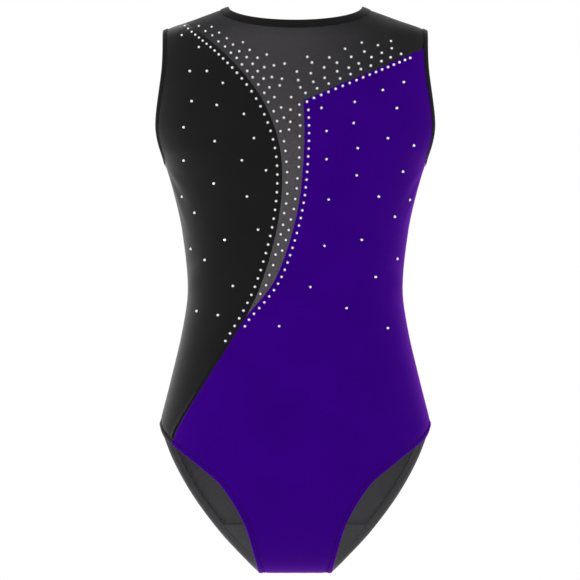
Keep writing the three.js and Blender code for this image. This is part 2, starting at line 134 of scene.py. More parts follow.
def section(level):
    """Drop, half width, front depth and back depth of the form at a level."""
    drop = TOP + np.minimum(level, 1) * (HIP_DROP - TOP)
    turn = (np.clip(level, 1, 2) - 1) * pi / 2
    fall, left = np.sin(turn), np.abs(np.cos(turn))
    under = level > 1
    thigh = THIGH_HALF + (KNEE_HALF - THIGH_HALF) * fall**2 - (THIGH_HALF - HIP_HALF) * left**8
    half = np.where(under, thigh, chart(drop, 1))
    front = np.where(under, BODY[-1, 2] * left ** (2 / FRONT_UNDER_POWER), chart(drop, 2))
    back = np.where(under, BODY[-1, 3] * left ** (2 / BACK_UNDER_POWER), chart(drop, 3))
    return drop + (CROTCH_DROP - HIP_DROP) * fall, half, front, back


def signed_power(value, power):
    return np.sign(value) * np.abs(value) ** power


def form(angle, level):
    """Points of the form. Levels past 2 come up again on the other side."""
    past = level > 2
    angle = np.where(past, -angle, angle)
    drop, half, front, back = section(np.where(past, 4 - level, level))
    fore = np.sin(angle)
    x = half * signed_power(np.cos(angle), 2 / SECTION_POWER)
    y = -np.where(fore > 0, front, back) * signed_power(fore, 2 / SECTION_POWER)
    return np.stack([x, y, -drop], -1)


STEP = 1e-3


def slopes_at(angle, level):
    around = form(angle + STEP, level) - form(angle - STEP, level)
    down = form(angle, level + STEP) - form(angle, level - STEP)
    return around / (2 * STEP), down / (2 * STEP)


def unit(vectors):
    return vectors / np.linalg.norm(vectors, axis=-1, keepdims=True)


def form_normal(angle, level):
    return unit(np.cross(*slopes_at(angle, level)))


def project(points, angle, level):
    """Angle and level of the form's points nearest to the given ones, from a first guess."""
    for _ in range(6):
        miss = points - form(angle, level)
        around, down = slopes_at(angle, level)
        aa, ad, dd = (np.sum(p * q, -1) for p, q in ((around, around), (around, down), (down, down)))
        am, dm = np.sum(around * miss, -1), np.sum(down * miss, -1)
        area = aa * dd - ad**2
        angle = angle + np.clip((dd * am - ad * dm) / area, -0.1, 0.1)
        level = level + np.clip((aa * dm - ad * am) / area, -0.1, 0.1)
    return angle, level


def seen_at(line, side):
    """Angle and level of the places seen at (x, z) from the front. Side -1 takes the back's."""
    x, drop = line[:, 0], -line[:, 1]
    share = np.clip((drop - HIP_DROP) / (CROTCH_DROP - HIP_DROP), 0, 1)
    level = np.where(drop <= HIP_DROP, level_at(drop), 1 + np.arcsin(share) / (pi / 2))
    half = section(level)[1]
    across = np.clip(np.abs(x) / half, 0, 1) ** (SECTION_POWER / 2)
    return side * np.arccos(np.sign(x) * across), level


# ---------------------------------------------------------------- lines on the form


def spline(points, shares):
    """Points at shares (0 to 1) of a smooth line (Catmull-Rom) through the given points."""
    points = np.array(points, float)
    last = len(points) - 1
    place = shares * last
    i = np.minimum(place.astype(int), last - 1)
    t = (place - i)[:, None]
    before, start, end, after = (points[np.clip(i + k, 0, last)] for k in (-1, 0, 1, 2))
    leave, arrive = (end - before) / 2, (after - start) / 2
    bend = (2 * start - 2 * end + leave + arrive) * t**3
    return bend + (3 * end - 3 * start - 2 * leave - arrive) * t**2 + leave * t + start


EVEN = np.linspace(0, 1, 1200)
EASED = (1 - np.cos(pi * EVEN)) / 2
HALF_TURN = pi * EASED


def mirrored(line):
    return line * (-1, 1)


def neck_line(drop):
    return np.stack([NECK_HALF * np.cos(HALF_TURN), -drop * np.sin(HALF_TURN)], 1)


ARM_LINE = spline(
    [
        (SHOULDER_HALF, -SHOULDER_DROP),
        (SHOULDER_HALF + 0.8, -60.9),
        (139.5, -119),
        (UNDERARM_HALF, -UNDERARM_DROP),
    ],
    EASED,
)


def leg_line(shares):
    """A leg opening's edge. Each point is its share of the way in from the hip, and of the way down."""
    way = np.array([CROTCH_HALF - HIP_HALF, HIP_DROP - CROTCH_DROP])
    return spline(np.array([HIP_HALF, -HIP_DROP]) + np.array(shares) * way, EASED)


FRONT_LEG_LINE = leg_line([
    (0, 0), (0.045, 0.081), (0.162, 0.152), (0.414, 0.284),
    (0.636, 0.419), (0.848, 0.655), (0.96, 0.892), (1, 1),
])
BACK_LEG_LINE = leg_line([(0, 0), (0.13, 0.24), (0.332, 0.486), (0.604, 0.73), (0.868, 0.918), (1, 1)])

BLACK_START = (-132, 2)
STRIPE_TIP = (-49, -309)
LOWER_END = (-128, -455)
BLACK_LINE = spline(
    [BLACK_START, (-75, -43), (-38, -85), (-18, -130), (-13, -175), (-19, -225), (-34, -277), STRIPE_TIP],
    EVEN,
)

PURPLE_TOP_START = np.array([150, -33])
PURPLE_CORNER = np.array([8, -93])
PURPLE_SIDE_POINTS = [(9, -135), (4.5, -191), (-6, -236), (-22, -276), STRIPE_TIP]
CORNER_ROUND = 4.5
TOP_LINE_COUNT = 595


def rounded_corner(before, corner, after):
    """A bend at a corner, from its start to its middle and from its middle to its end."""
    start, end = (corner + CORNER_ROUND * unit(np.asarray(point) - corner) for point in (before, after))
    share = np.linspace(0, 1, 9)[:, None]
    bend = (1 - share) ** 2 * start + 2 * share * (1 - share) * corner + share**2 * end
    return bend[:5], bend[4:]


CORNER_ABOVE, CORNER_BELOW = rounded_corner(PURPLE_TOP_START, PURPLE_CORNER, PURPLE_SIDE_POINTS[0])
PURPLE_TOP_LINE = np.vstack(
    [np.linspace(PURPLE_TOP_START, CORNER_ABOVE[0], TOP_LINE_COUNT), CORNER_ABOVE[1:]]
)
PURPLE_SIDE_LINE = np.vstack([CORNER_BELOW, spline([CORNER_BELOW[-1], *PURPLE_SIDE_POINTS], EVEN)[1:]])
LOWER_LINE = spline([STRIPE_TIP, (-65, -335), (-94, -381), (-119, -424), LOWER_END], EVEN)

# Coordinates beyond the leotard's sides and below its crotch.
OUTSIDE = 260
BELOW = -CROTCH_DROP - 60
BLACK_OUTER_EDGE = [(-OUTSIDE, LOWER_END[1]), (-OUTSIDE, BLACK_START[1])]
BLACK_AREA = np.vstack([BLACK_LINE, LOWER_LINE[1:], BLACK_OUTER_EDGE])
PURPLE_OUTER_EDGE = [(LOWER_END[0], BELOW), (OUTSIDE, BELOW), (OUTSIDE, PURPLE_TOP_START[1])]
PURPLE_AREA = np.vstack([PURPLE_TOP_LINE[:1], PURPLE_SIDE_LINE, LOWER_LINE[1:], PURPLE_OUTER_EDGE])


def lengths_along(points):
    steps = np.linalg.norm(np.diff(points, axis=0), axis=1)
    return np.concatenate([[0], np.cumsum(steps)])


def at_lengths(line, wanted):
    """The points of a line at the wanted lengths along it."""
    along = lengths_along(line)
    return np.stack([np.interp(wanted, along, column) for column in line.T], 1)


def closed_up(line):
    return np.vstack([line, line[:1]])


def resample(angle, level, spacing):
    """The same line, with evenly spaced points. Its two ends stay where they are."""
    dense = form(angle, level)
    along = lengths_along(dense)
    wanted = np.linspace(0, along[-1], max(2, round(along[-1] / spacing)) + 1)
    near = np.clip(np.searchsorted(along, wanted), 0, len(along) - 1)
    new_angle, new_level = project(at_lengths(dense, wanted), angle[near], level[near])
    new_angle[[0, -1]], new_level[[0, -1]] = angle[[0, -1]], level[[0, -1]]
    return new_angle, new_level


def make_path(angle, level, closed=False, turn=0, pins=()):
    """A line on the form with its normals and the directions along it and across it.

    Across points away from an opening. An opening starts at the side of the body, and turn is the
    index where it passes from the front to the back. Pins name the points that an inset keeps on
    the side line ("angle") or on the crotch line ("level").
    """
    points, normals = form(angle, level), form_normal(angle, level)
    if closed:
        ahead = unit(np.roll(points, -1, 0) - np.roll(points, 1, 0))
    else:
        ahead = unit(np.gradient(points, axis=0))
    across = unit(np.cross(normals, ahead))
    if closed and np.sum(across * (points - points.mean(0))) < 0:
        across = -across
    line = {"angle": angle, "level": level, "points": points, "normals": normals}
    return SimpleNamespace(**line, ahead=ahead, across=across, closed=closed, turn=turn, pins=pins)


PATH_SPACING = 1.6


def opening(front_line, back_line, last_pin):
    """The edge of an opening: along the front, and back to its start along the back."""
    front = resample(*seen_at(front_line, 1), PATH_SPACING)
    back = resample(*seen_at(back_line, -1), PATH_SPACING)
    angle, level = (np.concatenate([f[:-1], b[:0:-1]]) for f, b in zip(front, back))
    turn = len(front[0]) - 1
    return make_path(angle, level, closed=True, turn=turn, pins=((0, "angle"), (turn, last_pin)))


def inset(path, distance):
    """Angle and level of the line that far across the cloth from a path."""
    angle, level = project(path.points + distance * path.across, path.angle, path.level)
    for index, kept in path.pins:
        if kept == "angle":
            angle[index] = path.angle[index]
        else:
            level[index] = path.level[index]
    return angle, level


def part_of(path, keep):
    """The stretch of a closed path whose points are marked, as an open path."""
    start = np.flatnonzero(keep & ~np.roll(keep, 1))[0]
    order = (np.arange(len(keep)) + start) % len(keep)
    order = order[keep[order]]
    order = np.append(order, (order[-1] + 1) % len(keep))
    names = ("angle", "level", "points", "normals", "ahead", "across")
    fields = {name: getattr(path, name)[order] for name in names}
    return SimpleNamespace(**fields, closed=False, turn=0, pins=())


def on_form(line):
    """A front pattern line from where it comes on to the form, below the shoulder line."""
    half = section(level_at(np.minimum(-line[:, 1], HIP_DROP)))[1]
    return line[max(np.flatnonzero(np.abs(line[:, 0]) < half)[0] - 1, 0) :]


def seam_path(line):
    return make_path(*resample(*seen_at(on_form(line), 1), PATH_SPACING))


NECK = opening(neck_line(FRONT_NECK_DROP), neck_line(BACK_NECK_DROP), "angle")
ARMS = {
    "left": opening(ARM_LINE, ARM_LINE, "angle"),
    "right": opening(mirrored(ARM_LINE), mirrored(ARM_LINE), "angle"),
}
LEGS = {
    "left": opening(FRONT_LEG_LINE, BACK_LEG_LINE, "level"),
    "right": opening(mirrored(FRONT_LEG_LINE), mirrored(BACK_LEG_LINE), "level"),
}

# ---------------------------------------------------------------- flat chart of the cloth

# The front and the back are each meshed in a flat chart: millimetres across and down.
ROUND = 112
UNDER = 185
SIDE = ROUND * pi / 2
GRID = 3.4


def to_chart(angle, level):
    across = (pi / 2 - np.abs(angle)) * ROUND
    upper = TOP + np.minimum(level, 1) * (HIP_DROP - TOP)
    return np.stack([across, upper + np.clip(level - 1, 0, 1) * UNDER], -1)


def from_chart(spots, side):
    upper = level_at(np.minimum(spots[:, 1], HIP_DROP))
    lower = np.clip((spots[:, 1] - HIP_DROP) / UNDER, 0, 1)
    return side * (pi / 2 - spots[:, 0] / ROUND), upper + lower


def between(start, end):
    """Evenly spaced points between two spots, without the two."""
    count = max(1, round(np.linalg.norm(end - start) / GRID))
    return np.linspace(start, end, count + 1)[1:-1]


BORDER_SPACING = 2.4


def border_stretch(path, side, distance):
    """The front or back half of an opening's edge in the chart, moved in from the opening."""
    angle, level = inset(path, distance)
    if side > 0:
        picks = np.arange(path.turn + 1)
    else:
        picks = np.append(0, np.arange(len(angle) - 1, path.turn - 1, -1))
    spots = to_chart(angle[picks], level[picks])
    length = lengths_along(spots)[-1]
    return at_lengths(spots, np.linspace(0, length, round(length / BORDER_SPACING) + 1))


def cloth_border(side):
    """The border of the front or back half of the cloth, in the chart, once round."""
    neck = border_stretch(NECK, side, NECK_BINDING * 0.55)
    arms = {name: border_stretch(path, side, ARM_BINDING * 0.55) for name, path in ARMS.items()}
    legs = {name: border_stretch(path, side, LEG_HEM) for name, path in LEGS.items()}
    stretches = [neck, arms["right"], legs["right"], legs["left"][::-1], arms["left"][::-1]]
    border = []
    for stretch, after in zip(stretches, stretches[1:] + [neck]):
        border += [stretch, between(stretch[-1], after[0])]
    return np.vstack(border)


def inside(spots, polygon):
    """Which spots lie in a closed polygon."""
    found = np.zeros(len(spots), bool)
    x, y = spots[:, 0], spots[:, 1]
    for (x0, y0), (x1, y1) in zip(polygon, np.roll(polygon, -1, 0)):
        if y0 != y1:
            crosses = (y0 > y) != (y1 > y)
            found ^= crosses & (x < x0 + (y - y0) * (x1 - x0) / (y1 - y0))
    return found


def nearest(spots, line):
    """Each spot's distance to a line, and how far along the line its nearest point is."""
    best = np.full(len(spots), 1e9)
    place = np.zeros(len(spots))
    along = lengths_along(line)
    for start, end, so_far in zip(line[:-1], line[1:], along):
        step = end - start
        size = step @ step
        if size == 0:
            continue
        t = np.clip((spots - start) @ step / size, 0, 1)
        distance = np.linalg.norm(spots - start - t[:, None] * step, axis=1)
        closer = distance < best
        best[closer] = distance[closer]
        place[closer] = (so_far + t * np.sqrt(size))[closer]
    return best, place


def chart_line(line):
    """A front pattern line in the chart."""
    return to_chart(*resample(*seen_at(on_form(line), 1), GRID))


BORDERS = {side: cloth_border(side) for side in (1, -1)}
FRONT_SEAMS = [chart_line(line) for line in (BLACK_LINE, PURPLE_TOP_LINE, PURPLE_SIDE_LINE, LOWER_LINE)]
CHART_BOTTOM = HIP_DROP + UNDER
EDGE_SEAMS = [
    np.array([(SIDE, TOP), (SIDE, HIP_DROP)]),
    np.array([(-SIDE, TOP), (-SIDE, HIP_DROP)]),
    np.array([(-CROTCH_HALF * 2, CHART_BOTTOM), (CROTCH_HALF * 2, CHART_BOTTOM)]),
]


def smooth_step(value, start, end):
    t = np.clip((value - start) / (end - start), 0, 1)
    return t * t * (3 - 2 * t)


def bell(distance, width):
    return np.exp(-((distance / width) ** 2))


FOLD_GAP = 2.8
SEAM_DIP = 0.55
SEAM_DIP_WIDTH = 1.5
EDGE_DIP = 0.7
EDGE_DIP_WIDTH = 1.2
PUCKER = 0.16
PUCKER_PITCH = 8.5
PUCKER_REACH = 6


def relief(spots, side):
    """How far the cloth stands out from the form, in millimetres."""
    across, down = spots[:, 0], spots[:, 1]
    edge = nearest(spots, closed_up(BORDERS[side]))[0]
    height = np.zeros(len(spots))
    seams = FRONT_SEAMS + EDGE_SEAMS if side > 0 else EDGE_SEAMS
    for line in seams:
        distance, along = nearest(spots, line)
        height -= SEAM_DIP * bell(distance, SEAM_DIP_WIDTH)
        pucker = np.sin(2 * pi * along / PUCKER_PITCH + 2 * np.sin(along / 23))
        height += PUCKER * pucker * bell(distance, PUCKER_REACH) * smooth_step(edge, 1, 6)
    if side > 0:
        height += pressed_fold(spots)
    height += slack(across, down, side) * smooth_step(edge, 2, 26)
    return height - EDGE_DIP * bell(edge, EDGE_DIP_WIDTH)


def pressed_fold(spots):
    """The black cloth's fold beside its lower seam, which grows towards the hip."""
    distance = nearest(spots, FRONT_SEAMS[-1])[0]
    seen = form(*from_chart(spots, 1))[:, [0, 2]]
    ridge = 0.75 * bell(distance - FOLD_GAP, 1.2)
    groove = 0.8 * bell(distance - 1, 0.9)
    grown = smooth_step(-seen[:, 1], 30 - STRIPE_TIP[1], HIP_DROP)
    return np.where(inside(seen, BLACK_AREA), grown * (ridge - groove), 0)


def crease(across, down, start, end, width, depth):
    """A soft fold along a straight line of the chart that fades out towards its end."""
    start, end = np.array(start, float), np.array(end, float)
    direction = (end - start) / np.linalg.norm(end - start)
    offset = np.stack([across, down], 1) - start
    along = offset @ direction / np.linalg.norm(end - start)
    beside = offset @ np.array([-direction[1], direction[0]])
    fade = smooth_step(along, -0.25, 0.1) * (1 - smooth_step(along, 0.55, 1.1))
    return depth * fade * bell(beside, width)


def slack(across, down, side):
    """Soft waves all over, and the folds that pull in from the underarms, the waist and the hips."""
    height = 0.22 * np.sin(across / 21 + 1.7 * np.sin(down / 67)) * np.sin(down / 33 + side)
    for sign in (1, -1):
        for turn, depth in ((0.1, 0.7), (0.42, -0.6), (0.8, 0.5)):
            far = (sign * (SIDE - 62 * np.cos(turn)), UNDERARM_DROP + 18 + 62 * np.sin(turn) * 1.2)
            height += crease(across, down, (sign * (SIDE - 8), UNDERARM_DROP + 6), far, 5.5, depth)
        for lift, depth in ((0, -0.6), (17, 0.55), (36, -0.4)):
            start = (sign * (SIDE - 4), 262 + lift)
            height += crease(across, down, start, (sign * (SIDE - 66), 252 + lift * 1.3), 6.5, depth)
        start = (sign * (SIDE - 10), HIP_DROP - 6)
        height += crease(across, down, start, (sign * 70, HIP_DROP + 24), 6, -0.6)
    return height


# ---------------------------------------------------------------- meshes

SHARP_ANGLE = 0.9


def add_mesh(name, vertices, faces, materials, weave=None, face_material=None, smooth=True):
    """A closed mesh from pattern millimetres. Weave holds each point's place in the cloth."""
    mesh = bpy.data.meshes.new(name)
    mesh.from_pydata((np.asarray(vertices) * MM).tolist(), [], faces)
    for material in materials:
        mesh.materials.append(material)
    if face_material is not None:
        mesh.polygons.foreach_set("material_index", np.asarray(face_material, np.int32))
    if weave is not None:
        layer = mesh.attributes.new("weave", "FLOAT_VECTOR", "POINT")
        layer.data.foreach_set("vector", np.asarray(weave, np.float32).ravel())
    shape = bmesh.new()
    shape.from_mesh(mesh)
    if shape.calc_volume(signed=True) < 0:
        bmesh.ops.reverse_faces(shape, faces=shape.faces)
    shape.to_mesh(mesh)
    shape.free()
    if smooth:
        mesh.shade_smooth()
        mesh.set_sharp_from_angle(angle=SHARP_ANGLE)
    else:
        mesh.shade_flat()
    piece = bpy.data.objects.new(name, mesh)
    bpy.context.scene.collection.objects.link(piece)
    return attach(piece, "root")


def sweep(name, path, profile, material, wave=None, lining=None):
    """A closed profile carried along a path. A profile point is (across the cloth, out from the
    form). With a lining material, the half of the profile nearer the body takes it."""
    profile = np.array(profile, float)
    along = lengths_along(path.points)
    rings, weave = [], []
    for across, out in profile:
        angle, level = inset(path, across)
        height = out if wave is None else out + wave(along, across)
        rings.append(form(angle, level) + form_normal(angle, level) * np.reshape(height, (-1, 1)))
        weave.append(np.stack([along, np.full(len(along), across), np.zeros(len(along))], 1))
    count, sides = len(along), len(profile)
    runs = count if path.closed else count - 1
    faces = []
    for side in range(sides):
        low, high = side * count, (side + 1) % sides * count
        for i in range(runs):
            after = (i + 1) % count
            faces.append((low + i, low + after, high + after, high + i))
    if not path.closed:
        faces.append(tuple(side * count for side in range(sides)))
        faces.append(tuple(side * count + count - 1 for side in reversed(range(sides))))
    finish = np.zeros(len(faces), int)
    if lining is not None:
        out = profile[:, 1]
        finish[: runs * sides] = np.repeat(out + np.roll(out, -1) < out.max() + out.min(), runs)
    materials = [material] if lining is None else [material, lining]
    return add_mesh(name, np.vstack(rings), faces, materials, np.vstack(weave), finish)


def round_end(centre, radius, start, end, steps):
    turn = np.linspace(start, end, steps)
    return [(centre[0] + radius * np.cos(t), centre[1] + radius * np.sin(t)) for t in turn]


STITCH_INSET = 1.5


def fold_profile(outer_width, inner_width, middle, half, pocket, groove):
    """A strip folded round an edge, open away from it. Half is its half thickness at the fold,
    pocket the half thickness of the space inside, groove the dip of the line of stitches."""
    top, bottom = middle + half, middle - half
    stitch = outer_width - STITCH_INSET
    outer = [
        (outer_width, middle + pocket + 0.1),
        (outer_width - 0.15, top - 0.35),
        (outer_width - 0.6, top - 0.1),
        (stitch + 0.1, top - groove),
        (stitch - 1.2, top - 0.02),
        ((stitch + half) / 2, top + 0.06),
    ]
    fold = round_end((half, middle), half, pi / 2, 3 * pi / 2, 9)
    inner = [
        ((inner_width + half) / 2, bottom),
        (inner_width - 0.3, bottom),
        (inner_width, bottom + 0.3),
        (inner_width - 0.1, middle - pocket - 0.1),
    ]
    inside_fold = round_end((half, middle), pocket, 3 * pi / 2, pi / 2, 5)
    return outer + fold + inner + inside_fold


def strip_profile(edge, other_edge, low, high):
    """A flat strip with rounded long edges."""
    start, end = sorted((edge, other_edge))
    half = (high - low) / 2
    right = round_end((end - half, low + half), half, -pi / 2, pi / 2, 5)
    left = round_end((start + half, low + half), half, pi / 2, 3 * pi / 2, 5)
    middle = (start + end) / 2
    return [*right, (middle, high), *left, (middle, low)]


# ---------------------------------------------------------------- cloth panels


def chart_points(border, lines):
    """A grid of points inside the border, with rows beside the seams and the border."""
    lines = [*lines, closed_up(border)]
    rows = []
    for line in lines:
        ahead = unit(np.gradient(line, axis=0) + 1e-9)
        beside = np.stack([-ahead[:, 1], ahead[:, 0]], 1)
        rows += [line + beside * shift for shift in (-2.8, -1.2, 1.2, 2.8)]
    rows = np.vstack(rows)
    span_across = np.arange(-SIDE, SIDE, GRID)
    grid = []
    for row, down in enumerate(np.arange(TOP, CHART_BOTTOM, GRID * 0.866)):
        shift = (row % 2) * GRID / 2
        grid.append(np.stack([span_across + shift, np.full(len(span_across), down)], 1))
    grid = np.vstack(grid)

    def clear(spots, room):
        kept = inside(spots, border)
        for line in lines:
            kept &= nearest(spots, line)[0] > room
        return spots[kept]

    return np.vstack([clear(rows, 1.1), clear(grid, 2.8 + GRID * 0.55)])


def triangulate(border, lines):
    points = np.vstack([border, *lines, chart_points(border, lines)])
    edges = [(i, (i + 1) % len(border)) for i in range(len(border))]
    start = len(border)
    for line in lines:
        edges += [(start + i, start + i + 1) for i in range(len(line) - 1)]
        start += len(line)
    spots, _, triangles, *_ = geometry.delaunay_2d_cdt(points.tolist(), edges, [], 0, 1e-4)
    spots, triangles = np.array(spots), np.array(triangles)
    return spots, triangles[inside(spots[triangles].mean(1), border)]


def panel(name, spots, triangles, side, outer, inner, thickness=CLOTH):
    """A piece of cloth: its outer face, its inner face and the cut edge between them."""
    used, triangles = np.unique(triangles, return_inverse=True)
    triangles = triangles.reshape(-1, 3)
    spots = spots[used]
    angle, level = from_chart(spots, side)
    normals = form_normal(angle, level)
    face = form(angle, level) + normals * relief(spots, side)[:, None]
    count = len(spots)
    corners = spots[triangles]
    turn = np.cross(corners[:, 1] - corners[:, 0], corners[:, 2] - corners[:, 0])
    triangles = np.where((turn * side > 0)[:, None], triangles[:, ::-1], triangles)
    edges = np.vstack([triangles[:, [0, 1]], triangles[:, [1, 2]], triangles[:, [2, 0]]])
    keys = {tuple(edge) for edge in edges.tolist()}
    rim = [(b, a, a + count, b + count) for a, b in keys if (b, a) not in keys]
    rim.sort()
    vertices = np.vstack([face, face - normals * thickness])
    faces = triangles.tolist() + (triangles[:, ::-1] + count).tolist() + rim
    finish = [0] * len(triangles) + [1] * (len(faces) - len(triangles))
    weave = np.tile(np.column_stack([spots, np.zeros(count)]), (2, 1))
    return add_mesh(name, vertices, faces, [outer, inner], weave, finish)


def front_panels():
    """The front's three panels: black, purple and sheer."""
    spots, triangles = triangulate(BORDERS[1], FRONT_SEAMS)
    seen = form(*from_chart(spots[triangles].mean(1), 1))[:, [0, 2]]
    black = inside(seen, BLACK_AREA)
    purple = inside(seen, PURPLE_AREA) & ~black
    return (
        panel("black_side_cloth", spots, triangles[black], 1, BLACK, BLACK_INSIDE),
        panel("purple_front_cloth", spots, triangles[purple], 1, PURPLE, PURPLE_INSIDE),
        panel("sheer_yoke", spots, triangles[~black & ~purple], 1, SHEER, SHEER, 0.4),
    )


def back_cloth():
    spots, triangles = triangulate(BORDERS[-1], [])
    return panel("back_cloth", spots, triangles, -1, BLACK, BLACK_INSIDE)


# ---------------------------------------------------------------- small things, many times over


def scatter(name, shape, faces, origins, axes, materials, facets=None):
    """One mesh with a copy of a small shape at each origin, turned to its three axes."""
    copies = origins[:, None] + sum(shape[None, :, k, None] * axes[k][:, None] for k in range(3))
    count = len(shape)
    all_faces = [tuple(v + i * count for v in face) for i in range(len(origins)) for face in faces]
    piece = add_mesh(name, copies.reshape(-1, 3), all_faces, materials, smooth=facets is None)
    # Facets holds each face's painted glint value, kept for the crystal's colour.
    if facets is not None:
        layer = piece.data.attributes.new("facet", "FLOAT", "FACE")
        layer.data.foreach_set("value", np.tile(facets, len(origins)).astype(np.float32))
    return piece


STITCH_PITCH = 3
STITCH_LENGTH = 2.3
THREAD_RADIUS = 0.24
# How far along each ring of a stitch sits, in lengths, and how wide it is, in thread radii.
STITCH_RINGS = ((-0.5, 0.15), (-0.38, 0.8), (0, 1), (0.38, 0.8), (0.5, 0.15))
RING_SIDES = 6


def stitch_shape():
    """One raised length of thread that thins and dips to its ends."""
    shape = []
    for at, wide in STITCH_RINGS:
        for turn in np.arange(RING_SIDES) * 2 * pi / RING_SIDES:
            rise = THREAD_RADIUS * (wide * np.sin(turn) - (1 - wide))
            shape.append((STITCH_LENGTH * at, THREAD_RADIUS * wide * np.cos(turn), rise))
    faces = []
    for first in range(0, len(shape) - RING_SIDES, RING_SIDES):
        for i in range(RING_SIDES):
            after = (i + 1) % RING_SIDES
            faces.append((first + i, first + after, first + RING_SIDES + after, first + RING_SIDES + i))
    faces += [tuple(reversed(range(RING_SIDES))), tuple(range(len(shape) - RING_SIDES, len(shape)))]
    return np.array(shape), faces


def stitches(name, path, across, out, material):
    """A line of thread that surfaces once for every stitch."""
    angle, level = inset(path, across)
    line = form(angle, level)
    along = lengths_along(closed_up(line) if path.closed else line)
    pick = np.searchsorted(along, np.arange(STITCH_PITCH / 2, along[-1], STITCH_PITCH)) % len(line)
    angle, level = angle[pick], level[pick]
    normals = form_normal(angle, level)
    origins = form(angle, level) + normals * out
    ahead = path.ahead[pick]
    side = unit(np.cross(normals, ahead))
    return scatter(name, *stitch_shape(), origins, (ahead, side, normals), [material])


STONE_SIDES = 10


def stone_shape():
    """A flat-backed crystal: a short girdle, a ring of slanted facets and a table."""
    turn = np.arange(STONE_SIDES) * 2 * pi / STONE_SIDES
    radius = STONE_WIDTH / 2
    half_side = pi / STONE_SIDES
    rings = ((radius * 0.94, -0.35, 0), (radius, 0.35, 0), (radius * 0.6, STONE_HEIGHT, half_side))
    shape = [
        (r * np.cos(t + shift), r * np.sin(t + shift), height)
        for r, height, shift in rings
        for t in turn
    ]
    # Each face gets a painted glint value, which the crystal material turns into its colour: dark on the
    # girdle, brighter and darker in turn on the slanted facets, brightest on the table.
    faces, shine = [], []
    for i in range(STONE_SIDES):
        after = (i + 1) % STONE_SIDES
        low, mid, high = 0, STONE_SIDES, 2 * STONE_SIDES
        faces += [(low + i, low + after, mid + after, mid + i)]
        faces += [(mid + i, mid + after, high + i), (mid + after, high + after, high + i)]
        shine += [0.0, 0.55, 0.85 - 0.25 * (i % 2)]
    faces += [tuple(range(2 * STONE_SIDES, 3 * STONE_SIDES)), tuple(reversed(range(STONE_SIDES)))]
    shine += [1.0, 0.0]
    return np.array(shape), faces, shine


def stones(name, seen):
    """Rhinestones at places seen from the front."""
    angle, level = seen_at(np.asarray(seen, float), 1)
    spots = to_chart(angle, level)
    normals = form_normal(angle, level)
    origins = form(angle, level) + normals * relief(spots, 1)[:, None]
    sideways = unit(np.cross(normals, (0.0, 0.0, 1.0)))
    upwards = np.cross(sideways, normals)
    turn = RANDOM.uniform(0, pi, len(angle))[:, None]
    size = 0.75 + 0.25 * smooth_step(-origins[:, 2:], 20, 60)
    axes = (
        (sideways * np.cos(turn) + upwards * np.sin(turn)) * size,
        (upwards * np.cos(turn) - sideways * np.sin(turn)) * size,
        normals * size,
    )
    shape, faces, shine = stone_shape()
    return scatter(name, shape, faces, origins, axes, [CRYSTAL], shine)


RANDOM = np.random.default_rng(7)
SHOULDER_CLOSENESS = 0.52


def closeness(drop, least=SHOULDER_CLOSENESS):
    """The stones are laid closer together towards the shoulders, down to a least share."""
    share = SHOULDER_CLOSENESS + (1 - SHOULDER_CLOSENESS) * smooth_step(drop, 20, 95)
    return np.maximum(share, least)


def row_beside(line, distance, pitch, start=0.0, least=SHOULDER_CLOSENESS):
    """Places one pitch apart, as seen from the front, beside a front pattern line."""
    path = seam_path(line)
    points = form(*project(path.points + distance * path.across, path.angle, path.level))
    seen = points[:, [0, 2]]
    along = lengths_along(seen)
    wanted = [start]
    while wanted[-1] < along[-1]:
        drop = -np.interp(wanted[-1], along, seen[:, 1])
        wanted.append(wanted[-1] + pitch * closeness(drop, least))
    return at_lengths(seen, wanted[:-1])


def far_from(place, others, room):
    return len(others) == 0 or np.linalg.norm(np.asarray(others) - place, axis=1).min() > room


# ---------------------------------------------------------------- materials


